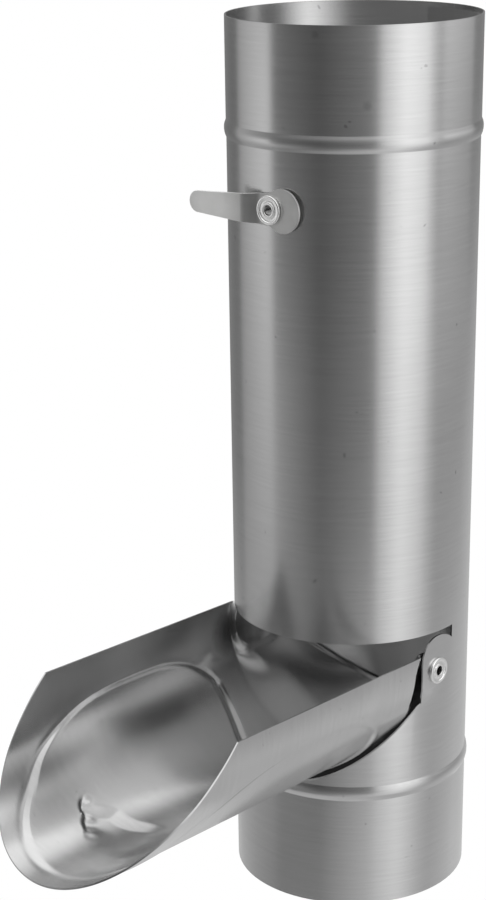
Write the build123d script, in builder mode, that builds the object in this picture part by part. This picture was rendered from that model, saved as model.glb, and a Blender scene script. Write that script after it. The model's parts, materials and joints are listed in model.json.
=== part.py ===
from build123d import *
import os
from math import asin, atan, cos, pi, radians, sin, sqrt, tan

# Rainwater diverter for a round downpipe: a length of folded sheet pipe with a window,
# a chute-shaped flap riveted in the window, and a turn tab that holds the flap shut.
# The pipe stands on its lower rim, its axis is Z, and the open chute points along -Y.

# pipe
pipe_diameter = 100.0
sheet = 0.65
pipe_height = 363.0
bead_height = 6.5
bead_rise = 0.9
lower_bead = 52.0
upper_bead_depth = 43.0
socket_growth = 0.15
seam_angle = 164.0
seam_width = 0.8
seam_depth = 0.2

# pivots of the flap
pivot_height = 102.6
pivot_forward = 5.8
running_gap = 0.45

# window in the pipe
rim_above_pivot = 17.2
slot_end = 4.3
ear_crest = 15.4
ear_reach = 10.0
ear_round = 9.6
ear_waist = 6.0
notch_back = 1.4
notch_drop = 12.9
sill_height = 54.2
sill_bow = 2.4
ear_flat_margin = 0.5
ear_blend_height = 8.0

# flap
cheek_height = 9.5
tip_reach = 182.0
mouth_angle = 45.0
open_angle = 88.0
step_gap = 0.5
stub_gap = 0.9
stub_length = 75.0
panel_rise = 1.5
panel_tip_border = 11.0
panel_front_slope = 1.3
panel_front_round = 34.0
# back edge of the panel, as angles round the floor and distances from the pivots
panel_back = ((77, 70), (66, 39), (46, 30.5), (24, 41), (0, 47))

# rivets
head_diameter = 11.3
head_height = 1.3
head_edge_radius = 0.45
head_dish = 0.45
dish_outer_diameter = 9.0
dish_inner_diameter = 6.4
shank_diameter = 6.0
bore_diameter = 3.9
tail_diameter = 8.2
tail_height = 1.1
turning_gap = 0.08
seat_gap = 0.1
tail_gap = 0.3

# turn tab
tab_height = 294.5
tab_thickness = 1.0
tab_seat = 0.3
tab_length = 38.5
tab_root_width = 13.2
tab_tip_width = 8.4
base_diameter = 17.0
base_back = 5.8
jog_start = 6.2
jog_end = 11.6
jog_rise = 3.0

# worked out
outer_radius = pipe_diameter / 2
inner_radius = outer_radius - sheet
neck_outer = inner_radius - running_gap
neck_inner = neck_outer - sheet
wrap_inner = outer_radius + running_gap
wrap_outer = wrap_inner + sheet
pivot_y = -pivot_forward
window_top = pivot_height + rim_above_pivot
ear_front = pivot_y - ear_reach
ear_top = pivot_height + ear_crest
notch = (ear_front + notch_back, pivot_height - notch_drop)
step_radius = ear_crest + step_gap
cheek_edge = pivot_y + cheek_height
pivot_axis = Axis((0, pivot_y, pivot_height), (1, 0, 0))
far = 2 * pipe_diameter
side_view = Plane.YZ.offset(-far)


def pipe_wall():
    """Half section of the pipe wall, with its two beads and the slightly wider socket end."""
    half = bead_height / 2
    beads = ((lower_bead, 0), (pipe_height - upper_bead_depth, socket_growth))

    def side(radius):
        with BuildLine() as edge:
            start = (radius, 0)
            for level, growth in beads:
                foot = (radius, level - half)
                Line(start, foot)
                start = (radius + growth, level + half)
                ThreePointArc(foot, (radius + bead_rise, level), start)
            Line(start, (start[0], pipe_height))
        return edge.line

    with BuildSketch(Plane.XZ) as section:
        with BuildLine():
            add(side(inner_radius))
            add(side(outer_radius))
            Line((inner_radius, 0), (outer_radius, 0))
            Line((inner_radius + socket_growth, pipe_height), (outer_radius + socket_growth, pipe_height))
        make_face()
    return section.sketch


def window_outline():
    """Side view of what is cut out of the pipe, open towards the front."""
    slot_rise = sqrt(ear_crest ** 2 - (slot_end - pivot_y) ** 2)
    slot_floor = (slot_end, pivot_height + slot_rise)
    crest = (pivot_y, ear_top)
    lean = asin((slot_end - pivot_y) / ear_crest) / 2
    crest_middle = (pivot_y + ear_crest * sin(lean), pivot_height + ear_crest * cos(lean))
    shoulder = (ear_front, ear_top - ear_round)
    corner = cos(pi / 4)
    shoulder_middle = (ear_front + ear_round * (1 - corner), ear_top - ear_round * (1 - corner))
    waist = (ear_front, notch[1] + ear_waist)
    sill = (-outer_radius, sill_height)
    bow = sill_bow * corner
    sill_middle = ((notch[0] + sill[0]) / 2 + bow, (notch[1] + sill[1]) / 2 + bow)
    with BuildSketch(side_view) as outline:
        with BuildLine():
            Line((-far, window_top), (slot_end, window_top))
            Line((slot_end, window_top), slot_floor)
            ThreePointArc(slot_floor, crest_middle, crest)
            Line(crest, (ear_front + ear_round, ear_top))
            ThreePointArc((ear_front + ear_round, ear_top), shoulder_middle, shoulder)
            Line(shoulder, waist)
            Line(waist, notch)
            ThreePointArc(notch, sill_middle, sill)
            Line(sill, (-far, sill_height))
            Line((-far, sill_height), (-far, window_top))
        make_face()
    return outline.sketch


def flat_ear():
    """Right ear, pressed flat from a little above the notch so that the cheek passes inside it."""
    width = ear_flat_margin - ear_front
    blend_start = notch[1] - notch_back
    blend_end = blend_start + ear_blend_height

    def chord(radius, depth):
        return (sqrt(radius ** 2 - depth ** 2), -depth)

    with BuildPart() as ear:
        with BuildSketch(Plane.XY.offset(blend_start)):
            with BuildLine():
                ThreePointArc((inner_radius, 0), chord(inner_radius, width / 2), chord(inner_radius, width))
                Line(chord(inner_radius, width), chord(outer_radius, width))
                ThreePointArc(chord(outer_radius, width), chord(outer_radius, width / 2), (outer_radius, 0))
                Line((outer_radius, 0), (inner_radius, 0))
            make_face()
        with BuildSketch(Plane.XY.offset(blend_end)) as flat:
            with Locations((inner_radius, -width)):
                Rectangle(sheet, width, align=(Align.MIN, Align.MIN))
        loft()
        extrude(flat.sketch, amount=window_top - blend_end)
    return ear.part, width, blend_start


def rivet(tail_depth):
    """Tubular rivet along Z: underside of the head at 0, inner face of the tail at -tail_depth."""
    with BuildPart() as body:
        Cylinder(head_diameter / 2, head_height, align=(Align.CENTER, Align.CENTER, Align.MIN))
        fillet(body.edges().group_by(Axis.Z)[-1], radius=head_edge_radius)
        with BuildSketch(Plane.XY.offset(head_height)):
            Circle(dish_outer_diameter / 2)
            Circle(dish_inner_diameter / 2, mode=Mode.SUBTRACT)
        extrude(amount=-head_dish, mode=Mode.SUBTRACT)
        with BuildSketch(Plane.XY):
            Circle(shank_diameter / 2)
        extrude(amount=-tail_depth)
        with BuildSketch(Plane.XY.offset(-tail_depth)):
            Circle(tail_diameter / 2)
        extrude(amount=-tail_height)
        Hole(bore_diameter / 2)
    return body.part


# pipe
ear, ear_width, ear_foot = flat_ear()
with BuildPart() as pipe:
    with BuildSketch(Plane.XZ):
        add(pipe_wall())
    revolve(axis=Axis.Z)
    with BuildSketch(Plane.XY.offset(ear_foot)):
        with Locations((0, -ear_width / 2)):
            Rectangle(far, ear_width)
    extrude(amount=window_top - ear_foot, mode=Mode.SUBTRACT)
    add(ear)
    add(mirror(ear, about=Plane.YZ))
    extrude(window_outline(), amount=2 * far, mode=Mode.SUBTRACT)
    with Locations(Plane(origin=(0, pivot_y, pivot_height), z_dir=(1, 0, 0))):
        Hole(shank_diameter / 2)
    with BuildSketch(Plane.XZ):
        with Locations((0, tab_height)):
            Circle(shank_diameter / 2)
    extrude(amount=far, mode=Mode.SUBTRACT)
    # the soldered lap shows inside as a fine line from rim to rim
    with BuildSketch(Plane.XY.rotated((0, 0, seam_angle - 90))):
        with Locations((inner_radius, 0)):
            Rectangle(2 * seam_depth, seam_width)
    extrude(amount=pipe_height, mode=Mode.SUBTRACT)


def curved_sheet(inner, outer, inside, outside=()):
    """Sheet bent round the pipe axis between two radii, kept inside some side views and outside others."""
    with BuildPart() as piece:
        with BuildSketch(Plane.XY):
            Circle(outer)
            Circle(inner, mode=Mode.SUBTRACT)
        extrude(amount=pipe_height)
        for outline in inside:
            extrude(outline, amount=2 * far, mode=Mode.INTERSECT)
        for outline in outside:
            extrude(outline, amount=2 * far, mode=Mode.SUBTRACT)
    return piece.part


# The flap is drawn shut, wrapped round the pipe, and then swung open.
mouth_slope = tan(radians(mouth_angle))
tip_height = pivot_height + tip_reach
corner_height = tip_height - (wrap_outer + cheek_edge) * mouth_slope
stub_end = pivot_height - stub_length
with BuildSketch(side_view) as flap_side:
    Polygon(
        (cheek_edge, stub_end),
        (cheek_edge, corner_height),
        (-wrap_outer, tip_height),
        (-wrap_outer - panel_rise, tip_height + panel_rise * mouth_slope),
        (-wrap_outer - panel_rise, stub_end),
        align=None,
    )


def neck_side(radius):
    """Side view of the narrow inner part, rounded about the pivot so that it clears the pipe rim."""
    with BuildSketch(side_view) as side:
        with Locations((-far, pivot_height - far)):
            Rectangle(far + pivot_y + radius, far + radius, align=(Align.MIN, Align.MIN))
        top_back = side.vertices().group_by(Axis.Y)[-1].sort_by(Axis.X)[-1]
        fillet(top_back, radius=radius)
    return side.sketch


def panel_side_view(inset):
    """Side view of the stamped floor panel, shrunk by inset on every side."""
    back = []
    for angle, reach in panel_back:
        back.append((-wrap_inner * cos(radians(angle)), pivot_height + reach))
    front_y, front_height = -wrap_outer, tip_height - panel_tip_border
    side_y = back[0][0]
    side_height = front_height - (side_y - front_y) * panel_front_slope
    with BuildSketch(side_view) as side:
        with BuildLine():
            ThreePointArc(*back[:3])
            ThreePointArc(*back[2:])
            Polyline(
                back[-1],
                (-far, back[-1][1]),
                (-far, front_height),
                (front_y, front_height),
                (side_y, side_height),
                back[0],
            )
        make_face()
        corner = side.vertices().group_by(Axis.X)[-1].sort_by(Axis.Y)[-1]
        fillet(corner, radius=panel_front_round)
        if inset:
            offset(amount=-inset, mode=Mode.REPLACE)
    return side.sketch


neck_edge = neck_side(step_radius + sheet)
neck_core = neck_side(step_radius)
panel_edge = panel_side_view(0)
panel_core = panel_side_view(sheet)
whole = flap_side.sketch
with BuildPart() as shut_flap:
    add(curved_sheet(neck_inner, neck_outer, [whole, neck_edge]))
    add(curved_sheet(neck_inner, wrap_outer, [whole, neck_edge], [neck_core]))
    add(curved_sheet(wrap_inner, wrap_outer, [whole], [neck_core, panel_edge]))
    add(curved_sheet(wrap_inner, wrap_outer + panel_rise, [panel_edge], [panel_core]))
    add(curved_sheet(wrap_inner + panel_rise, wrap_outer + panel_rise, [panel_edge]))
    with Locations(Plane(origin=(0, pivot_y, pivot_height), z_dir=(1, 0, 0))):
        Hole(shank_diameter / 2 + turning_gap)

# the end of the floor inside the pipe follows the pipe's rear wall
with BuildPart() as behind:
    with BuildSketch(Plane.XY):
        with Locations((0, far / 2)):
            Rectangle(far, far)
        Circle(inner_radius - stub_gap, mode=Mode.SUBTRACT)
    extrude(amount=pipe_height)

with BuildPart() as flap:
    add(shut_flap.part.rotate(pivot_axis, open_angle))
    add(behind.part, mode=Mode.SUBTRACT)

# rivets of the flap, one in each ear, heads outside
cheek_inside = sqrt(neck_inner ** 2 - (pivot_forward + tail_diameter / 2) ** 2) - tail_gap
right_seat = Plane(origin=(outer_radius, pivot_y, pivot_height), z_dir=(1, 0, 0))
with BuildPart() as right_pivot_rivet:
    with Locations(right_seat):
        add(rivet(outer_radius - cheek_inside))
with BuildPart() as left_pivot_rivet:
    add(mirror(right_pivot_rivet.part, about=Plane.YZ))

# turn tab, lying across the pipe with its tongue to the left
tab_face = outer_radius + tab_seat
with BuildPart() as latch_tab:
    with BuildSketch(Plane.XZ.offset(tab_face)) as plan:
        with Locations((base_back, tab_height)):
            Circle(base_diameter / 2)
        tip_round = tab_tip_width / 2
        tip_centre = tab_length - tip_round
        with Locations((-tip_centre, tab_height)):
            Circle(tip_round)
        Polygon(
            (base_back, tab_height + tab_root_width / 2),
            (-tip_centre, tab_height + tip_round),
            (-tip_centre, tab_height - tip_round),
            (base_back, tab_height - tab_root_width / 2),
            align=None,
        )
        with Locations((0, tab_height)):
            Circle(shank_diameter / 2 + turning_gap, mode=Mode.SUBTRACT)
    extrude(amount=jog_rise + tab_thickness)
    bend_shift = tab_thickness * tan(atan(jog_rise / (jog_end - jog_start)) / 2)
    with BuildSketch(Plane.XY) as bend:
        with BuildLine():
            Polyline(
                (base_diameter, -tab_face),
                (-jog_start, -tab_face),
                (-jog_end, -tab_face - jog_rise),
                (-tab_length, -tab_face - jog_rise),
                (-tab_length, -tab_face - jog_rise - tab_thickness),
                (-jog_end + bend_shift, -tab_face - jog_rise - tab_thickness),
                (-jog_start + bend_shift, -tab_face - tab_thickness),
                (base_diameter, -tab_face - tab_thickness),
                close=True,
            )
        make_face()
    extrude(amount=pipe_height, mode=Mode.INTERSECT)

with BuildPart() as latch_rivet:
    tail_seat = sqrt(inner_radius ** 2 - (tail_diameter / 2) ** 2)
    head_seat = tab_face + tab_thickness + seat_gap
    with Locations(Plane(origin=(0, -head_seat, tab_height), z_dir=(0, -1, 0))):
        add(rivet(head_seat - tail_seat))

# labels and files
os.makedirs("parts", exist_ok=True)
pipe.part.label = "pipe"
flap.part.label = "flap"
latch_tab.part.label = "latch_tab"
latch_rivet.part.label = "latch_rivet"
right_pivot_rivet.part.label = "right_pivot_rivet"
left_pivot_rivet.part.label = "left_pivot_rivet"
export_step(pipe.part, "parts/pipe.step")
export_step(flap.part, "parts/flap.step")
export_step(latch_tab.part, "parts/latch_tab.step")
export_step(latch_rivet.part, "parts/latch_rivet.step")
export_step(right_pivot_rivet.part, "parts/right_pivot_rivet.step")
export_step(left_pivot_rivet.part, "parts/left_pivot_rivet.step")
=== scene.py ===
import json
import math

import bmesh
import bpy
import numpy as np
from mathutils import Matrix, Vector


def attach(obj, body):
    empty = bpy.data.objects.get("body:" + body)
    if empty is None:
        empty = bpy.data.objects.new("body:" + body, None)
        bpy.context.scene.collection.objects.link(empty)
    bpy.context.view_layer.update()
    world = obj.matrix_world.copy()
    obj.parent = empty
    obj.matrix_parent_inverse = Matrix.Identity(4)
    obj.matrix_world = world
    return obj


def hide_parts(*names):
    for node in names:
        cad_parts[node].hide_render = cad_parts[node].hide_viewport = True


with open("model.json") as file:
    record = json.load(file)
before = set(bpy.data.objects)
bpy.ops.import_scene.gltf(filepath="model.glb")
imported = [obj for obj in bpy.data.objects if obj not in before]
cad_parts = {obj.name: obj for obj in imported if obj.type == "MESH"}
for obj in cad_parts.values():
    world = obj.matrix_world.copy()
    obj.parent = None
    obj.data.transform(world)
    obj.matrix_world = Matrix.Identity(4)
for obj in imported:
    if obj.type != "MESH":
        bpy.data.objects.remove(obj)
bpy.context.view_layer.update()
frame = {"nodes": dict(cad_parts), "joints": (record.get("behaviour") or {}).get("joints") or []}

joints = {joint["name"]: joint for joint in frame["joints"]}
print("frame loaded")

# camera: stands where the photograph was taken from, millimetres and radians

cameraSettings = {
    "distance": 814.7, "height": 440.3, "azimuth": math.radians(38.0),
    "yaw": -0.0552, "pitch": 0.3747, "roll": -0.0153,
    "lens": 81.59, "sensor": 36.0, "shiftUp": 0.1667, "shiftSide": -0.0036, "near": 0.01, "far": 20.0,
}


def makeCamera(s):
    data = bpy.data.cameras.new("photoCamera")
    data.lens = s["lens"]
    data.sensor_width = s["sensor"]
    data.shift_y = s["shiftUp"]
    data.shift_x = s["shiftSide"]
    data.clip_start = s["near"]
    data.clip_end = s["far"]
    camera = bpy.data.objects.new("photoCamera", data)
    bpy.context.scene.collection.objects.link(camera)
    bpy.context.scene.camera = camera
    toward = Vector((math.sin(s["yaw"]), math.cos(s["yaw"]), 0.0))
    side = Vector((math.cos(s["yaw"]), -math.sin(s["yaw"]), 0.0))
    up = Vector((0.0, 0.0, 1.0))
    forward = toward * math.cos(s["pitch"]) - up * math.sin(s["pitch"])
    above = toward * math.sin(s["pitch"]) + up * math.cos(s["pitch"])
    right = side * math.cos(s["roll"]) + above * math.sin(s["roll"])
    above = above * math.cos(s["roll"]) - side * math.sin(s["roll"])
    turn = Matrix.Rotation(s["azimuth"], 3, "Z")
    axes = Matrix([turn @ right, turn @ above, -(turn @ forward)]).transposed()
    camera.matrix_world = axes.to_4x4()
    camera.location = turn @ Vector((0.0, -s["distance"], s["height"])) / 1000.0


makeCamera(cameraSettings)
print("camera set")

# shader maths


class Field:  # a socket that can be used in sums, plus one way to add any node
    def __init__(self, tree, socket=None):
        self.tree = tree
        self.socket = socket

    def add(self, kind, inputs=None, output=0, stops=None, **settings):
        made = self.tree.nodes.new(kind)
        for name, value in settings.items():
            setattr(made, name, value)
        if stops:
            ramp = made.color_ramp
            while len(ramp.elements) < len(stops):
                ramp.elements.new(0.5)
            for element, (place, level) in zip(ramp.elements, stops):
                element.position = place
                element.color = (level, level, level, 1.0)
        for name, value in (inputs or {}).items():
            if isinstance(value, Field):
                self.tree.links.new(value.socket, made.inputs[name])
            else:
                made.inputs[name].default_value = value
        return Field(self.tree, made.outputs[output]) if made.outputs else None

    def maths(self, operation, first, second=None):
        inputs = {0: first}
        if second is not None:
            inputs[1] = second
        return self.add("ShaderNodeMath", inputs, operation=operation)

    def __add__(self, other):
        return self.maths("ADD", self, other)

    __radd__ = __add__

    def __mul__(self, other):
        return self.maths("MULTIPLY", self, other)

    __rmul__ = __mul__

    def __sub__(self, other):
        return self.maths("SUBTRACT", self, other)

    def __rsub__(self, other):
        return self.maths("SUBTRACT", other, self)


def newTree(name):
    material = bpy.data.materials.new(name)
    material.use_nodes = True
    material.node_tree.nodes.clear()
    return material, Field(material.node_tree)


def noise(f, where, stretch, detail=2.0):
    # stretch is how many grains fit in a metre each way
    placed = f.add("ShaderNodeMapping", {"Vector": where, "Scale": stretch})
    return f.add("ShaderNodeTexNoise", {"Vector": placed, "Scale": 1.0, "Detail": detail})


# what all the finishes share: how the two grains mix, and how soft the specks and spots are
zinc = {"fineShare": 0.6, "coarseShare": 0.4, "cloudDetail": 3.0, "speckDetail": 1.0, "speckEdge": 0.03,
        "spotCore": 0.3}


def zincFinish(name, s):
    # each spot is its place, its size, and what it adds to the roughness and to the brightness
    material, f = newTree(name)
    where = f.add("ShaderNodeTexCoord", output="Object")
    fine = noise(f, where, s["fineGrain"])
    coarse = noise(f, where, s["coarseGrain"])
    clouds = noise(f, where, (s["cloud"],) * 3, zinc["cloudDetail"])
    specks = noise(f, where, (s["speck"],) * 3, zinc["speckDetail"])
    speckStops = ((s["speckFrom"], 0.0), (s["speckFrom"] + zinc["speckEdge"], 1.0))
    speckMask = f.add("ShaderNodeValToRGB", {"Fac": specks}, stops=speckStops)
    grain = fine * zinc["fineShare"] + coarse * zinc["coarseShare"]
    level = s["level"] + (grain - 0.5) * s["grainContrast"] + (clouds - 0.5) * s["cloudContrast"]
    level = level - speckMask * s["speckDepth"]
    rough = s["roughness"] + (clouds - 0.5) * s["roughSpread"] + (coarse - 0.5) * s["roughGrain"]
    for spot, size, rougher, brighter in s["spots"]:
        away = f.add("ShaderNodeVectorMath", {0: where, 1: spot}, "Value", operation="DISTANCE")
        edges = {"From Min": size, "From Max": size * zinc["spotCore"]}
        near = f.add("ShaderNodeMapRange", {"Value": away, **edges})
        rough = rough + near * rougher
        level = level + near * brighter
    colour = f.add("ShaderNodeCombineColor", {"Red": level, "Green": level, "Blue": level * s["blue"]})
    height = grain + clouds * s["wave"]
    bump = f.add("ShaderNodeBump", {"Height": height, "Strength": s["bump"], "Distance": s["bumpDepth"]})
    shader = f.add("ShaderNodeBsdfPrincipled",
                   {"Base Color": colour, "Metallic": 1.0, "Roughness": rough, "Normal": bump})
    f.add("ShaderNodeOutputMaterial", {"Surface": shader})
    return material


# stage: white floor and surround, with the cards and softboxes that the metal mirrors, in metres

stage = {
    "ambient": 0.7, "floorSize": 6.0, "floorHeight": -0.0006, "floorShade": 0.85, "wallRadius": 1.6,
    # half width, height and brightness
    "sheets": {"ceilingSoftbox": (3.5, 1.6, 1.35), "groundCard": (3.5, -1.12, 0.6),
               "underCard": (0.16, -0.25, 0.75)},
    # height and brightness, inside the pipe: painted shade, dark discs that the inner wall mirrors in place
    # of the shade there
    "discRadius": 0.0491, "paintedShadeDiscs": {"pipeFootCard": (0.001, 0.02), "pipeMiddleCard": (0.2, 0.45)},
}
# cards stand between two azimuths; each row is a height, then the card's brightness at its start and its end
cards = {
    "leftBackCard": (-142, -86, (
        (-1.1, 0.7, 0.55), (-0.8, 0.7, 0.5), (-0.3, 0.3, 0.22), (0.15, 0.28, 0.16),
        (0.75, 0.2, 0.2), (1.05, 0.3, 0.3), (1.3, 0.6, 0.5), (1.6, 1.0, 0.8))),
    "leftCard": (-86, -39, (
        (-1.1, 0.5, 0.28), (-0.8, 0.5, 0.28), (-0.3, 0.38, 0.64), (0.15, 0.42, 1.0),
        (0.42, 0.5, 0.35), (1.0, 0.6, 0.22), (1.6, 1.3, 1.2))),
    "frontCardLeft": (-39, 8, (
        (-1.1, 0.24, 0.26), (-0.8, 0.24, 0.26), (-0.3, 0.5, 0.15), (0.15, 0.2, 0.08),
        (0.5, 0.2, 0.1), (1.0, 0.22, 0.25), (1.4, 0.6, 0.45), (1.6, 0.9, 0.8))),
    "frontCardRight": (8, 60, (
        (-1.1, 0.26, 0.7), (-0.8, 0.26, 0.7), (-0.3, 0.15, 0.27), (0.15, 0.08, 0.24),
        (0.5, 0.1, 0.3), (1.0, 0.25, 0.5), (1.4, 0.45, 0.7), (1.6, 0.8, 0.9))),
    "softboxLeft": (60, 84, (
        (-1.1, 0.75, 1.0), (-0.8, 0.75, 1.0), (-0.3, 0.6, 1.2), (0.15, 0.75, 1.45),
        (1.0, 0.8, 1.4), (1.6, 1.0, 1.2))),
    "softboxRight": (84, 108, (
        (-1.1, 1.0, 0.6), (-0.8, 1.0, 0.6), (-0.3, 1.2, 0.85), (0.15, 1.45, 1.2),
        (1.0, 1.4, 1.0), (1.6, 1.2, 1.0))),
    "softboxEdge": (108, 122, (
        (-1.1, 0.6, 0.5), (-0.8, 0.6, 0.5), (-0.3, 0.75, 0.42), (0.15, 0.9, 0.35),
        (1.0, 0.9, 0.7), (1.6, 0.9, 0.8))),
    "rightCard": (122, 168, (
        (-1.1, 0.55, 0.8), (-0.8, 0.5, 0.75), (-0.3, 0.38, 0.45), (0.1, 0.65, 0.4), (0.3, 1.0, 0.6),
        (0.7, 0.8, 0.4), (0.9, 0.5, 0.15), (1.1, 0.3, 0.1), (1.35, 0.5, 0.6), (1.6, 0.9, 0.95))),
    "backCard": (168, 218, (
        (-1.1, 0.8, 0.8), (-0.3, 0.5, 0.6), (0.15, 0.25, 0.3), (0.75, 0.25, 0.2),
        (1.05, 0.35, 0.3), (1.3, 0.8, 0.6), (1.6, 1.1, 1.0))),
}
# small cards inside the pipe, with their radius: one at the window and four under the upper rim. They put
# painted light into the metal's reflections: their dark rows are painted shade inside the pipe, their bright
# rows a painted highlight on its inner wall
insidePaintedLightCards = {
    "windowCard": (75, 138, (
        (0.1, 0.45, 0.45), (0.124, 0.45, 0.45), (0.128, 0.02, 0.02), (0.17, 0.02, 0.02)), 0.047),
    "rimCardBack": (145, 102, ((0.32, 0.2, 1.35), (0.361, 0.2, 1.35)), 0.0485),
    "rimCardFront": (102, 45, ((0.32, 1.35, 0.2), (0.361, 1.35, 0.2)), 0.0485),
    "rimCardRight": (182, 145, ((0.32, 0.12, 0.15), (0.361, 0.12, 0.15)), 0.0485),
    "rimCardNear": (45, -62, ((0.3, 0.16, 0.14), (0.361, 0.16, 0.14)), 0.0485),
}
darkFromBehind = ("windowCard",)


def makeWhite(f):
    # 1 for the camera, mirrors and glass, and 0 for everything else
    path = f.add("ShaderNodeLightPath", output="Is Camera Ray")
    glossy = f.add("ShaderNodeLightPath", output="Is Glossy Ray")
    through = f.add("ShaderNodeLightPath", output="Is Transmission Ray")
    return f.maths("MAXIMUM", f.maths("MAXIMUM", path, glossy), through)


def makeWorld(s):
    world = bpy.data.worlds.new("whiteSurround")
    bpy.context.scene.world = world
    world.use_nodes = True
    world.node_tree.nodes.clear()
    f = Field(world.node_tree)
    seen = makeWhite(f)
    strength = s["ambient"] + seen * (1.0 - s["ambient"])
    light = f.add("ShaderNodeBackground", {"Color": (1.0, 1.0, 1.0, 1.0), "Strength": strength})
    f.add("ShaderNodeOutputWorld", {"Surface": light})


def meshObject(name, points, faces, materials=()):
    mesh = bpy.data.meshes.new(name)
    mesh.from_pydata([tuple(p) for p in points], [], faces)
    for material in materials:
        mesh.materials.append(material)
    made = bpy.data.objects.new(name, mesh)
    bpy.context.scene.collection.objects.link(made)
    return made


def gridFaces(rows, columns):
    faces = []
    for i in range(rows - 1):
        for j in range(columns - 1):
            v = i * columns + j
            faces.append((v, v + 1, v + columns + 1, v + columns))
    return faces


def square(half, height):
    return [(-half, -half, height), (half, -half, height), (half, half, height), (-half, half, height)]


def makeFloor(s):
    material, f = newTree("floorWhite")
    seen = makeWhite(f)
    matt = f.add("ShaderNodeBsdfDiffuse", {"Color": (s["floorShade"],) * 3 + (1.0,)})
    glow = f.add("ShaderNodeEmission", {"Color": (1.0, 1.0, 1.0, 1.0), "Strength": 1.0})
    mixed = f.add("ShaderNodeMixShader", {0: seen, 1: matt, 2: glow})
    f.add("ShaderNodeOutputMaterial", {"Surface": mixed})
    floor = meshObject("floor", square(s["floorSize"] / 2, s["floorHeight"]), [(0, 1, 2, 3)], [material])
    floor.visible_glossy = False


def makeGlow(name, points, faces, glows, oneSided=False):
    # mirrored in the metal only: the camera and the shadows don't see it
    material, f = newTree(name + "Glow")
    strength = f.add("ShaderNodeAttribute", output="Fac", attribute_name="glow")
    if oneSided:
        strength = strength * (1.0 - f.add("ShaderNodeNewGeometry", output="Backfacing"))
    glow = f.add("ShaderNodeEmission", {"Color": (1.0, 1.0, 1.0, 1.0), "Strength": strength})
    f.add("ShaderNodeOutputMaterial", {"Surface": glow})
    card = meshObject(name, points, faces, [material])
    share = card.data.attributes.new("glow", "FLOAT", "POINT")
    share.data.foreach_set("value", glows)
    card.visible_camera = False
    card.visible_diffuse = False
    card.visible_shadow = False
    card.visible_transmission = False


def makeCard(name, start, end, rows, radius, steps=12):
    points, glows = [], []
    for i in range(steps + 1):
        share = i / steps
        a = math.radians(start + (end - start) * share)
        for z, first, last in rows:
            points.append((radius * math.sin(a), -radius * math.cos(a), z))
            glows.append(first + (last - first) * share)
    makeGlow(name, points, gridFaces(steps + 1, len(rows)), glows, name in darkFromBehind)


def makeSheet(name, half, height, glow):
    makeGlow(name, square(half, height), [(0, 1, 2, 3)], [glow] * 4)


def makeDisc(name, radius, height, glow, corners=64):
    turns = [2 * math.pi * i / corners for i in range(corners)]
    points = [(radius * math.cos(t), radius * math.sin(t), height) for t in turns]
    makeGlow(name, points, [tuple(range(corners))], [glow] * corners)


makeWorld(stage)
makeFloor(stage)
for name, (start, end, rows) in cards.items():
    makeCard(name, start, end, rows, stage["wallRadius"])
for name, values in insidePaintedLightCards.items():
    makeCard(name, *values)
for name, values in stage["sheets"].items():
    makeSheet(name, *values)
for name, values in stage["paintedShadeDiscs"].items():
    makeDisc(name, stage["discRadius"], *values)
bpy.context.scene.view_settings.view_transform = "Standard"
print("stage set")

# shared tools for the sheet pieces


def smoothStep(x):
    x = np.clip(x, 0.0, 1.0)
    return x * x * (3.0 - 2.0 * x)


def fade(x, start, end):
    # 0 on the start's side and 1 on the end's side, whichever of the two is higher
    return smoothStep((x - start) / (end - start))


def distanceTo(a, u, line, closed=False):
    # distance from each point to a line of (a, u) corners
    best = np.full(a.shape, np.inf)
    for (a0, u0), (a1, u1) in zip(line, line[1:] + (line[:1] if closed else [])):
        da, du = a1 - a0, u1 - u0
        t = np.clip(((a - a0) * da + (u - u0) * du) / (da * da + du * du), 0.0, 1.0)
        best = np.minimum(best, np.hypot(a - a0 - t * da, u - u0 - t * du))
    return best


def insideOf(a, u, line):
    inside = np.zeros(a.shape, bool)
    for (a0, u0), (a1, u1) in zip(line, line[1:] + line[:1]):
        if u0 == u1:
            continue
        crosses = (u0 > u) != (u1 > u)
        inside ^= crosses & (a < (a1 - a0) * (u - u0) / (u1 - u0) + a0)
    return inside


def rounded(points, steps=6):
    # a smooth closed line through the points
    out = []
    n = len(points)
    for i in range(n):
        p0, p1, p2, p3 = (np.array(points[(i + k - 1) % n], float) for k in range(4))
        for k in range(steps):
            t = k / steps
            q = 0.5 * (2 * p1 + (p2 - p0) * t + (2 * p0 - 5 * p1 + 4 * p2 - p3) * t ** 2
                       + (3 * p1 - p0 - 3 * p2 + p3) * t ** 3)
            out.append((float(q[0]), float(q[1])))
    return out


def mergedCopy(node, name, shaping=None, within=0.000002):
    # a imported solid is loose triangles, so a copy of it is joined up first, and loses its own shading
    mesh = frame["nodes"][node].data.copy()
    mesh.name = name
    work = bmesh.new()
    work.from_mesh(mesh)
    bmesh.ops.remove_doubles(work, verts=work.verts, dist=within)
    if shaping:
        shaping(work)
    work.to_mesh(mesh)
    work.free()
    shading = mesh.attributes.get("custom_normal")
    if shading:
        mesh.attributes.remove(shading)
    return mesh


def placed(mesh, name, material, body, slot, nodes):
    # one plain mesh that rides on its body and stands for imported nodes
    mesh.name = name
    mesh.materials.clear()
    mesh.materials.append(material)
    made = bpy.data.objects.new(name, mesh)
    bpy.context.scene.collection.objects.link(made)
    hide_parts(*nodes)
    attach(made, body)
    return made


def finished(source, *details):
    # turns an object with modifiers into its plain mesh, and places that
    graph = bpy.context.evaluated_depsgraph_get()
    mesh = bpy.data.meshes.new_from_object(source.evaluated_get(graph))
    bpy.data.objects.remove(source)
    return placed(mesh, *details)


def shadeSmooth(mesh, degrees):
    mesh.shade_smooth()
    mesh.set_sharp_from_angle(angle=math.radians(degrees))


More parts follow.
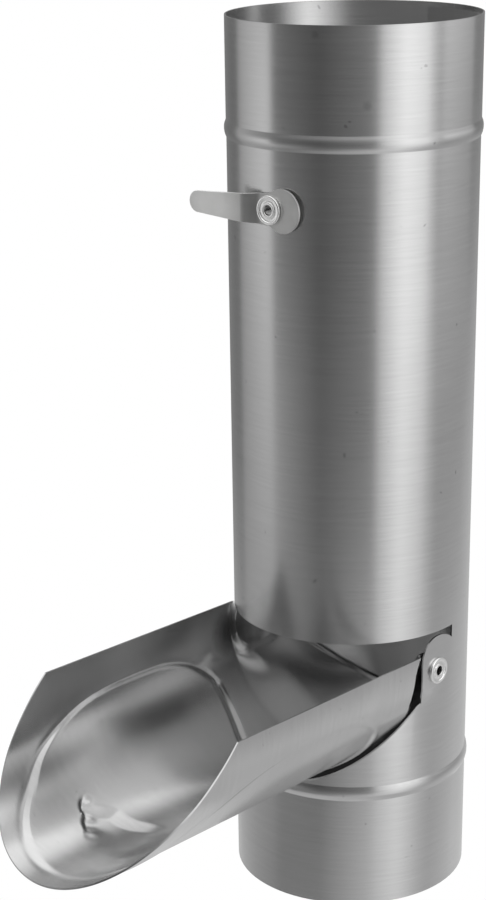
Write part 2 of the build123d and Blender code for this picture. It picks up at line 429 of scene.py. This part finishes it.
# what the sheet pieces share, in millimetres: the gap is between the flap and the pipe
fitting = {"pipeRadius": 50.0, "sheet": 0.65, "gap": 0.45}
neckOuter = fitting["pipeRadius"] - fitting["sheet"] - fitting["gap"]
wrapInner = fitting["pipeRadius"] + fitting["gap"]

# flap: one bent sheet, drawn shut in millimetres and swung open

hinge = joints["flap_hinge"]
flap = {
    "pivotY": round(hinge["pos_m"][1] * 1000, 3), "pivotZ": round(hinge["pos_m"][2] * 1000, 3),
    "open": math.radians(hinge["range_deg"][1]), "sheet": fitting["sheet"],
    # radii at mid thickness, and how far the cheeks reach past the middle of the pipe
    "neckRadius": neckOuter - fitting["sheet"] / 2, "wrapRadius": wrapInner + fitting["sheet"] / 2,
    "cheekEdge": 3.7,
    # how far both ends are from the pivots, and the far wall that the end inside the pipe follows
    "tip": 181.94, "stub": 75.0, "rear": 48.45, "endTrim": 5.0, "endTrimTo": 0.93,
    "hole": 3.08, "drillSides": 48, "drillLength": 200.0, "smoothTo": 40,
    # where the sheet steps out over the pipe, and where that softens, in degrees round the floor
    "stepEnd": 16.5, "stepWidth": 0.9, "stepRunOut": 27.0, "stepSoft": (80, 42),
    # rows before, over and after the stretch where they are close together
    "columns": 188, "rowCounts": (57, 18, 175), "closeRows": (12.5, 18.0),
    # crease between cheek and floor, in degrees, and the ridge along it
    "creaseAngle": 70.0, "creaseHalf": 12.0, "creaseDepth": 0.75, "creaseWrapDepth": 0.33,
    "creaseEnd": (52, 38),
    "ridge": 0.8, "ridgeWidth": 2.1, "ridgeWrapShare": 0.32, "ridgeDrop": 7.0,
    "ridgeStart": (-14, 2), "ridgeEnd": (38, 30),
    # waist on the near side, where the chute enters the pipe
    "waist": 5.6, "waistEnd": 16.6, "waistDrop": 15.0, "waistStart": (-34, -14),
    "waistCheek": (74, 48), "waistMiddle": (-5, 25),
    # how much closer the wrap lies above the window
    "settle": 0.2, "settleEnd": (80, 50), "settleCheek": (74, 54),
    "ripple": 0.10, "rippleLengths": (17.0, 31.0), "ripplePhases": (0.8, 0.4),
    "hem": 0.7, "hemReach": 2.2, "hemWidth": 1.2, "hemTo": 1.1,
}
# how far the border stands out beyond the panel, and the sizes of the wall between them and its groove
panelTip = {"border": 1.1, "wall": 2.1, "groove": 0.18, "grooveAt": 1.2, "grooveWidth": 1.4}
panelSides = {"border": 0.24, "wall": 1.2, "groove": 0.12, "grooveAt": 0.8, "grooveWidth": 0.9}
panelBack = {"border": 0.2, "wall": 1.8, "groove": 0.75, "grooveAt": 1.4, "grooveWidth": 1.6}
# where the sides give way to the tip and to the back, and where the border is lost near the tip
panelEnds = {"tipAlong": (118, 152), "tipCheek": (84, 62), "backAlong": (72, 50), "backCheek": (68, 56),
             "nearTip": (-37, -9), "nearTipLoss": 0.75}
# outline of the stamped panel: degrees round the floor, millimetres from the pivots
panelHalf = [(0, 45.0), (12, 44.0), (26, 41.0), (36.4, 36.8), (47, 34.2), (57, 34.4), (64, 37.5),
             (71.3, 46.0), (75.5, 58.0), (76.6, 72.0), (76.3, 90.0), (74.2, 106.5), (69.3, 120.3),
             (62.9, 132.2), (57.0, 140.3), (48.0, 148.9), (38.7, 158.0), (30.0, 164.1), (19.5, 169.1),
             (11.0, 171.5), (0, 172.5)]
# dent near the tip: the edge where it falls away, its far side, and the sharp crooked fold
dentStart = [(-33.7, 129.1), (-30.1, 128.5), (-27.0, 127.8), (-23.8, 123.9), (-19.1, 121.3), (-13.3, 121.8),
             (-8.4, 120.6), (-3.3, 118.1), (4.0, 115.5), (12.0, 114.0)]
dentEnd = [(12.0, 114.0), (22.0, 128.0), (22.0, 143.0), (14.0, 152.0), (3.0, 153.0), (-5.5, 150.0),
           (-10.3, 147.2)]
dentFold = [(-10.3, 147.2), (-14.9, 145.2), (-17.0, 142.8), (-22.5, 139.7), (-24.7, 137.2), (-30.7, 134.8),
            (-33.0, 132.4), (-33.7, 129.1)]
dent = {"depth": 1.2, "slope": 6.2, "foldWidth": 1.1, "endFade": 14.0}
# bumps pressed in from outside: degrees, millimetres from the pivots, size and height
pimples = [(-22.1, 135.1, 2.2, 0.4), (-14.2, 140.8, 2.6, 0.4), (-59.5, 34.5, 2.3, 0.34)]
# little ring mark at the top of the fold
ring = {"angle": -31.0, "along": 129.5, "squash": 0.8, "radius": 1.7, "width": 0.55, "rise": 0.16}


def flapGrid(s):
    # columns run round the sheet, and rows from its end inside the pipe to the mouth
    across = np.linspace(-1.0, 1.0, s["columns"] + 1)
    neckCheek = math.acos(-s["cheekEdge"] / s["neckRadius"])
    wrapCheek = math.acos(-s["cheekEdge"] / s["wrapRadius"])
    # the end inside follows the far wall of the pipe, as that stands with the flap open
    xOut = (s["neckRadius"] + s["sheet"] / 2) * np.sin(across * neckCheek)
    yIn = -s["neckRadius"] * np.cos(across * neckCheek)
    rear = np.sqrt(np.clip(s["rear"] ** 2 - xOut ** 2, 0.0, None))
    lean = math.pi / 2 - s["open"]
    low = -(rear - s["pivotY"] - (yIn - s["pivotY"]) * math.sin(lean)) / math.cos(lean)
    trim = s["endTrim"] * np.abs(across) ** 4 * (np.abs(across) < s["endTrimTo"])
    low = np.maximum(low + trim, -s["stub"])
    # the mouth is cut at 45 degrees
    high = s["tip"] - (s["wrapRadius"] + s["sheet"] / 2) * (1.0 - np.cos(across * wrapCheek))
    marks = [low, *(np.full_like(low, height) for height in s["closeRows"]), high]
    stretches = [first + (last - first) * (np.arange(count) / count)[:, None]
                 for first, last, count in zip(marks, marks[1:], s["rowCounts"])]
    u = np.concatenate([*stretches, high[None, :]])
    share = np.broadcast_to(across, u.shape)
    y = -s["wrapRadius"] * np.cos(share * wrapCheek) - s["pivotY"]
    fromPivot = np.where(y > 0, np.where(u > 0, np.hypot(y, u), -1.0), u)
    # the step is sharp where it passes the ears and runs out softly across the floor
    soft = fade(np.degrees(np.abs(share) * wrapCheek), *s["stepSoft"])
    width = s["stepWidth"] + s["stepRunOut"] * soft
    step = smoothStep((fromPivot - s["stepEnd"]) / width + 1.0)
    radius = s["neckRadius"] + (s["wrapRadius"] - s["neckRadius"]) * step
    theta = share * np.arccos(-s["cheekEdge"] / radius)
    return u, theta, radius, step, low


def panelRise(a, u, degrees, step, outline):
    # the border round the panel stands out, with a groove along its foot
    e = panelEnds
    apart = distanceTo(a, u, outline, True) * np.where(insideOf(a, u, outline), 1.0, -1.0)
    tip = fade(u, *e["tipAlong"]) * fade(np.abs(degrees), *e["tipCheek"])
    back = fade(u, *e["backAlong"]) * fade(np.abs(degrees), *e["backCheek"])
    v = {key: panelSides[key] * (1.0 - tip - back) + panelTip[key] * tip + panelBack[key] * back
         for key in panelTip}
    rise = v["border"] * (1.0 - smoothStep(apart / v["wall"])) * step
    rise *= 1.0 - e["nearTipLoss"] * tip * fade(degrees, *e["nearTip"])
    return rise + v["groove"] * np.exp(-((apart + v["grooveAt"]) / v["grooveWidth"]) ** 2) * step


def flapRise(s, u, theta, step, low):
    # how far each point stands out from the plain bent sheet
    arc = math.radians(1.0) * s["wrapRadius"]
    degrees = np.degrees(theta)
    fromFloor = np.abs(degrees)
    a = degrees * arc
    lines = [[(d * arc, h) for d, h in line] for line in (panelHalf, dentStart, dentEnd, dentFold)]
    half, start, end, fold = lines
    rise = panelRise(a, u, degrees, step, rounded(half + [(-x, h) for x, h in reversed(half[1:-1])]))
    # flat cheeks meet the round floor in a soft crease
    pastCrease = fromFloor - s["creaseAngle"]
    flat = np.clip(1.0 - (pastCrease / s["creaseHalf"] - 1.0) ** 2, 0.0, 1.0)
    deep = s["creaseDepth"] + (s["creaseWrapDepth"] - s["creaseDepth"]) * step
    rise -= flat * deep * fade(u, *s["creaseEnd"])
    inNeck = fade(u, s["waistEnd"], s["waistEnd"] - s["ridgeDrop"])
    ridge = s["ridge"] * (s["ridgeWrapShare"] + (1.0 - s["ridgeWrapShare"]) * inNeck)
    ridge = ridge * np.exp(-(pastCrease * arc / s["ridgeWidth"]) ** 2)
    rise -= ridge * fade(u, *s["ridgeStart"]) * fade(u, *s["ridgeEnd"])
    # the floor is pinched up where the chute enters the pipe
    pinch = fade(u, s["waistEnd"], s["waistEnd"] - s["waistDrop"]) * fade(u, *s["waistStart"])
    rise -= s["waist"] * pinch * fade(degrees, *s["waistCheek"]) * fade(degrees, *s["waistMiddle"])
    # and the wrap above the window lies a little closer to the pipe
    rise -= s["settle"] * fade(u, *s["settleEnd"]) * fade(fromFloor, *s["settleCheek"]) * step
    # the dent slopes in from its start and ends sharply at the fold
    within = insideOf(a, u, start[:-1] + end[:-1] + fold[:-1])
    dip = dent["depth"] * np.clip(distanceTo(a, u, start) / dent["slope"], 0.0, 1.0)
    dip = dip * smoothStep(distanceTo(a, u, fold) / dent["foldWidth"])
    rise += dip * smoothStep(distanceTo(a, u, end) / dent["endFade"]) * within
    for d, h, size, height in pimples:
        rise -= height * np.exp(-((a - d * arc) ** 2 + (u - h) ** 2) / size ** 2)
    fromRing = np.hypot(a - ring["angle"] * arc, (u - ring["along"]) * ring["squash"])
    rise += ring["rise"] * np.exp(-((fromRing - ring["radius"]) / ring["width"]) ** 2)
    # the sheet isn't perfectly even
    waves = [np.sin(x / length + phase)
             for x, length, phase in zip((a, u), s["rippleLengths"], s["ripplePhases"])]
    rise += s["ripple"] * waves[0] * waves[1] * np.cos(theta) ** 2 * step
    # small turned-up edge at the end inside the pipe
    turned = smoothStep((low + s["hemReach"] - u) / s["hemWidth"]) * (np.abs(theta) < s["hemTo"])
    return rise - s["hem"] * turned


def makeDrill(s):
    # goes through both cheeks along the pivots
    mesh = bpy.data.meshes.new("drill")
    centre = Matrix.Translation((0.0, s["pivotY"] / 1000, s["pivotZ"] / 1000))
    work = bmesh.new()
    bmesh.ops.create_cone(work, cap_ends=True, segments=s["drillSides"], depth=s["drillLength"] / 1000,
                          radius1=s["hole"] / 1000, radius2=s["hole"] / 1000,
                          matrix=centre @ Matrix.Rotation(math.pi / 2, 4, "Y"))
    work.to_mesh(mesh)
    work.free()
    drill = bpy.data.objects.new("drill", mesh)
    bpy.context.scene.collection.objects.link(drill)
    return drill


def flapSheet(s, material):
    u, theta, radius, step, low = flapGrid(s)
    r = radius + flapRise(s, u, theta, step, low)
    x, y, z = r * np.sin(theta), -r * np.cos(theta) - s["pivotY"], u
    c, k = math.cos(s["open"]), math.sin(s["open"])
    points = np.stack([x, s["pivotY"] + y * c - z * k, s["pivotZ"] + y * k + z * c], -1) / 1000.0
    sheet = meshObject("flapDraft", points.reshape(-1, 3), gridFaces(*u.shape))
    solid = sheet.modifiers.new("thickness", "SOLIDIFY")
    solid.thickness = s["sheet"] / 1000.0
    solid.offset = 0.0
    solid.use_even_offset = True
    drill = makeDrill(s)
    cut = sheet.modifiers.new("holes", "BOOLEAN")
    cut.operation = "DIFFERENCE"
    cut.solver = "EXACT"
    cut.object = drill
    made = finished(sheet, "flapSheet", material, "flap_body", "flap_sheet", ["flap"])
    bpy.data.objects.remove(drill)
    shadeSmooth(made.data, s["smoothTo"])


flapMaterial = zincFinish("zincFlap", {
    "fineGrain": (90.0, 1700.0, 90.0), "coarseGrain": (40.0, 420.0, 40.0), "cloud": 28.0,
    "speck": 420.0, "speckFrom": 0.76, "speckDepth": 0.12,
    "level": 0.60, "grainContrast": 0.10, "cloudContrast": 0.10, "blue": 1.0,
    "roughness": 0.23, "roughSpread": 0.04, "roughGrain": 0.02,
    "wave": 0.0, "bump": 0.04, "bumpDepth": 0.0001,
    # painted highlight along the far cheek, painted shade where that enters the pipe, and darker near the
    # tip
    "spots": [
        ((-0.0481, -0.0662, 0.0924), 0.018, 0.0, 0.05), ((-0.0478, -0.0882, 0.0926), 0.019, 0.0, 0.05),
        ((-0.0465, -0.1112, 0.0919), 0.018, 0.0, 0.05), ((-0.0495, -0.0225, 0.1000), 0.013, 0.0, -0.42),
        ((0.0062, -0.1370, 0.0628), 0.030, 0.0, -0.24), ((-0.0365, -0.1520, 0.0790), 0.026, 0.0, -0.2)],
})
flapSheet(flap, flapMaterial)
print("flap made")

# pipe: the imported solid, merged and shaded as the round sheet that it is, millimetres

pipe = {
    "inner": fitting["pipeRadius"] - fitting["sheet"], "sharpFrom": 28,
    "beads": (52.0, 320.0), "beadHeight": 6.5, "beadRise": 0.9,
    # a bead's shading is softer than its section, most of all at its foot
    "steepest": 0.9, "footFrom": 0.45, "footShare": 0.5, "crownShare": 0.75,
    # the flat ears keep their own shading
    "earLow": 87.0, "earHigh": 120.0, "earBack": 0.6,
    # what counts as the round wall: how squarely it faces the axis, and how far inside it may lie
    "facing": 0.8, "slack": 0.1,
}


def readValues(items, name, width=3, kind=np.float32):
    values = np.zeros(len(items) * width, kind)
    items.foreach_get(name, values)
    return values.reshape(-1, width)


def pipeNormals(mesh, s):
    # the solid's facets get the exact direction of the round sheet, so that its reflections run smooth
    shadeSmooth(mesh, s["sharpFrom"])
    corner = readValues(mesh.corner_normals, "vector").astype(float)
    vertex = readValues(mesh.loops, "vertex_index", 1, np.int32)[:, 0]
    corners = readValues(mesh.polygons, "loop_total", 1, np.int32)[:, 0]
    at = readValues(mesh.vertices, "co")[vertex].astype(float) * 1000.0
    face = np.repeat(readValues(mesh.polygons, "normal").astype(float), corners, axis=0)
    height = np.repeat(readValues(mesh.polygons, "center")[:, 2].astype(float) * 1000.0, corners)
    across = np.hypot(at[:, 0], at[:, 1])
    radial = at[:, :2] / across[:, None]
    facing = (face[:, :2] * radial).sum(1)
    inEar = (at[:, 2] > s["earLow"]) & (at[:, 2] < s["earHigh"]) & (at[:, 1] < s["earBack"])
    wall = (np.abs(facing) > s["facing"]) & ~inEar & (across > s["inner"] - s["slack"])
    half = s["beadHeight"] / 2
    bend = (half ** 2 + s["beadRise"] ** 2) / (2 * s["beadRise"])
    lift = np.zeros(len(at))
    for level in s["beads"]:
        lift += np.where(np.abs(height - level) < half, (at[:, 2] - level) / bend, 0.0)
    slope = np.arcsin(np.clip(lift, -s["steepest"], s["steepest"]))
    slope *= np.where(np.abs(lift) > s["footFrom"], s["footShare"], s["crownShare"])
    sign = np.sign(facing)[:, None]
    exact = np.concatenate([radial * np.cos(slope)[:, None], np.sin(slope)[:, None]], 1) * sign
    corner[wall] = exact[wall]
    mesh.normals_split_custom_set(corner.tolist())


def pipeSheet(s, material):
    mesh = mergedCopy("pipe", "pipeSheet")
    pipeNormals(mesh, s)
    placed(mesh, "pipeSheet", material, "pipe_body", "pipe_sheet", ["pipe"])


pipeMaterial = zincFinish("zincPipe", {
    "fineGrain": (60.0, 60.0, 2300.0), "coarseGrain": (26.0, 26.0, 700.0), "cloud": 22.0,
    "speck": 330.0, "speckFrom": 0.77, "speckDepth": 0.14,
    "level": 0.60, "grainContrast": 0.12, "cloudContrast": 0.06, "blue": 1.0,
    "roughness": 0.23, "roughSpread": 0.05, "roughGrain": 0.05,
    "wave": 0.0, "bump": 0.05, "bumpDepth": 0.0001,
    # two small smudges above the upper bead
    "spots": [
        ((0.0346, -0.0361, 0.3343), 0.0022, 0.0, -0.1), ((0.0185, -0.0465, 0.3596), 0.0018, 0.0, -0.1)],
})
pipeSheet(pipe, pipeMaterial)
print("pipe made")

# turn tab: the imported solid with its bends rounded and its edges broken, millimetres and degrees

tab = {
    "bendRound": 1.3, "bendSteps": 5, "edgeRound": 0.2, "edgeSteps": 2,
    # faces this flat are joined; a bend turns between two angles, in radians, and stands upright
    "flatTo": 1.0, "bendFrom": 0.2, "bendTo": 1.2, "uprightFrom": 0.9, "edgeFrom": 40, "smoothTo": 20,
}


def isBend(edge, s):
    if len(edge.link_faces) != 2 or not s["bendFrom"] < edge.calc_face_angle() < s["bendTo"]:
        return False
    return abs((edge.verts[0].co - edge.verts[1].co).normalized().z) > s["uprightFrom"]


def roundBends(work, s):
    flat = math.radians(s["flatTo"])
    bmesh.ops.dissolve_limit(work, angle_limit=flat, verts=work.verts, edges=work.edges)
    bends = [edge for edge in work.edges if isBend(edge, s)]
    bmesh.ops.bevel(work, geom=bends, offset=s["bendRound"] / 1000, segments=s["bendSteps"], profile=0.5,
                    affect="EDGES")


def tabSheet(s, material):
    mesh = mergedCopy("latch_tab", "tabDraft", lambda work: roundBends(work, s))
    draft = bpy.data.objects.new("tabDraft", mesh)
    bpy.context.scene.collection.objects.link(draft)
    edges = draft.modifiers.new("edges", "BEVEL")
    edges.limit_method = "ANGLE"
    edges.angle_limit = math.radians(s["edgeFrom"])
    edges.width = s["edgeRound"] / 1000
    edges.segments = s["edgeSteps"]
    made = finished(draft, "latchTab", material, "tab_body", "tab_sheet", ["latch_tab"])
    shadeSmooth(made.data, s["smoothTo"])


tabMaterial = zincFinish("zincTab", {
    "fineGrain": (300.0, 300.0, 300.0), "coarseGrain": (90.0, 90.0, 400.0), "cloud": 90.0,
    "speck": 700.0, "speckFrom": 0.78, "speckDepth": 0.1,
    "level": 0.56, "grainContrast": 0.08, "cloudContrast": 0.22, "blue": 0.99,
    "roughness": 0.36, "roughSpread": 0.06, "roughGrain": 0.04,
    "wave": 0.3, "bump": 0.10, "bumpDepth": 0.0003,
    # the tongue is paler and duller than the base
    "spots": [((-0.027, -0.0543, 0.2945), 0.019, 0.14, 0.42)],
})
tabSheet(tab, tabMaterial)
print("tab made")

# rivets: hollow, with a dished head outside and a turned-over tail inside, millimetres

rivet = {
    "headRadius": 5.65, "headHeight": 1.3, "dishOuter": 4.5, "dishInner": 3.1, "dishDepth": 0.5,
    "boreRadius": 1.95, "shankRadius": 3.0, "tailRadius": 4.1, "tailHeight": 1.1, "edgeRound": 0.36,
    "grip": 2.2,  # each piece below sets its own
}
rivetSteps = {"round": 72, "edge": 3, "reach": 0.02, "smoothTo": 40}
latchZ = round(joints["tab_swivel"]["pos_m"][2] * 1000, 3)
# nodes that each piece stands for, thickness that it grips, and where its heads sit and which way they face
rivetPlaces = {
    "latchRivet": (["latch_rivet"], 2.221, [((0.0, -51.4, latchZ), (0.0, -1.0, 0.0))]),
    "pivotRivets": (["right_pivot_rivet", "left_pivot_rivet"], 3.076,
                    [((side * fitting["pipeRadius"], flap["pivotY"], flap["pivotZ"]), (side, 0.0, 0.0))
                     for side in (1.0, -1.0)]),
}


def rivetTree(s, steps, material):
    tree = bpy.data.node_groups.new("rivetTree", "GeometryNodeTree")
    tree.interface.new_socket("places", in_out="INPUT", socket_type="NodeSocketGeometry")
    for name, value in s.items():
        socket = tree.interface.new_socket(name, in_out="INPUT", socket_type="NodeSocketFloat")
        socket.default_value = value / 1000
    tree.interface.new_socket("rivets", in_out="OUTPUT", socket_type="NodeSocketGeometry")
    f = Field(tree)
    entry = tree.nodes.new("NodeGroupInput")
    places = Field(tree, entry.outputs["places"])
    size = {name: Field(tree, entry.outputs[name]) for name in s}
    floor = size["headHeight"] - size["dishDepth"]
    under = size["grip"] * -1.0
    end = under - size["tailHeight"]
    # half section of the rivet, from the bore at the head outwards and back along the tail
    section = [
        (size["boreRadius"], size["headHeight"]), (size["dishInner"], size["headHeight"]),
        (size["dishInner"], floor), (size["dishOuter"], floor),
        (size["dishOuter"], size["headHeight"]), (size["headRadius"], size["headHeight"]),
        (size["headRadius"], 0.0), (size["shankRadius"], 0.0), (size["shankRadius"], under),
        (size["tailRadius"], under), (size["tailRadius"], end), (size["boreRadius"], end)]
    corner = tree.nodes.new("GeometryNodeIndexSwitch")
    corner.data_type = "VECTOR"
    while len(corner.index_switch_items) < len(section):
        corner.index_switch_items.new()
    tree.links.new(f.add("GeometryNodeInputIndex").socket, corner.inputs["Index"])
    for i, (r, z) in enumerate(section):
        point = f.add("ShaderNodeCombineXYZ", {"X": r - steps["reach"], "Y": z * -1.0})
        tree.links.new(point.socket, corner.inputs[str(i)])
    line = f.add("GeometryNodeCurvePrimitiveLine")
    line = f.add("GeometryNodeResampleCurve", {"Curve": line, "Count": len(section)})
    line = f.add("GeometryNodeSetPosition", {"Geometry": line, "Position": Field(tree, corner.outputs[0])})
    line = f.add("GeometryNodeSetSplineCyclic", {"Geometry": line, "Cyclic": True})
    corners = {"Count": steps["edge"], "Radius": size["edgeRound"], "Limit Radius": True}
    line = f.add("GeometryNodeFilletCurve", {"Curve": line, **corners}, mode="POLY")
    path = {"Resolution": steps["round"], "Radius": steps["reach"]}
    circle = f.add("GeometryNodeCurvePrimitiveCircle", path)
    turned = f.add("GeometryNodeCurveToMesh", {"Curve": circle, "Profile Curve": line})
    facing = f.add("GeometryNodeInputNamedAttribute", {"Name": "facing"}, data_type="FLOAT_VECTOR")
    turn = f.add("FunctionNodeAlignRotationToVector", {"Vector": facing}, axis="Z")
    copies = f.add("GeometryNodeInstanceOnPoints", {"Points": places, "Instance": turned, "Rotation": turn})
    real = f.add("GeometryNodeRealizeInstances", {"Geometry": copies})
    done = f.add("GeometryNodeSetMaterial", {"Geometry": real, "Material": material})
    f.add("NodeGroupOutput", {"rivets": done})
    return tree


def makeRivets(name, nodes, grip, places, tree, steps, material):
    draft = meshObject(name + "Draft", [[c / 1000 for c in at] for at, way in places], [])
    facing = draft.data.attributes.new("facing", "FLOAT_VECTOR", "POINT")
    facing.data.foreach_set("vector", [c for at, way in places for c in way])
    maker = draft.modifiers.new("rivets", "NODES")
    maker.node_group = tree
    for item in tree.interface.items_tree:
        if item.in_out == "INPUT" and item.name == "grip":
            maker[item.identifier] = grip / 1000
    made = finished(draft, name, material, "pipe_body", "rivet_metal", nodes)
    shadeSmooth(made.data, steps["smoothTo"])


rivetMaterial = zincFinish("rivetBright", {
    "fineGrain": (500.0, 500.0, 500.0), "coarseGrain": (200.0, 200.0, 200.0), "cloud": 150.0,
    "speck": 900.0, "speckFrom": 0.8, "speckDepth": 0.1,
    "level": 0.9, "grainContrast": 0.08, "cloudContrast": 0.08, "blue": 0.995,
    "roughness": 0.2, "roughSpread": 0.06, "roughGrain": 0.04,
    "wave": 0.3, "bump": 0.08, "bumpDepth": 0.0002,
    # painted shade darkens the bores inside and fades out across the dish round them; they are rougher there
    # too
    "spots": [
        ((0.0, -0.0502, 0.2945), 0.0034, 0.2, -1.0), ((0.0488, -0.0058, 0.1026), 0.0034, 0.2, -1.0),
        ((-0.0488, -0.0058, 0.1026), 0.0034, 0.2, -1.0)],
})
rivetNodes = rivetTree(rivet, rivetSteps, rivetMaterial)
for name, (nodes, grip, places) in rivetPlaces.items():
    makeRivets(name, nodes, grip, places, rivetNodes, rivetSteps, rivetMaterial)
print("rivets made")
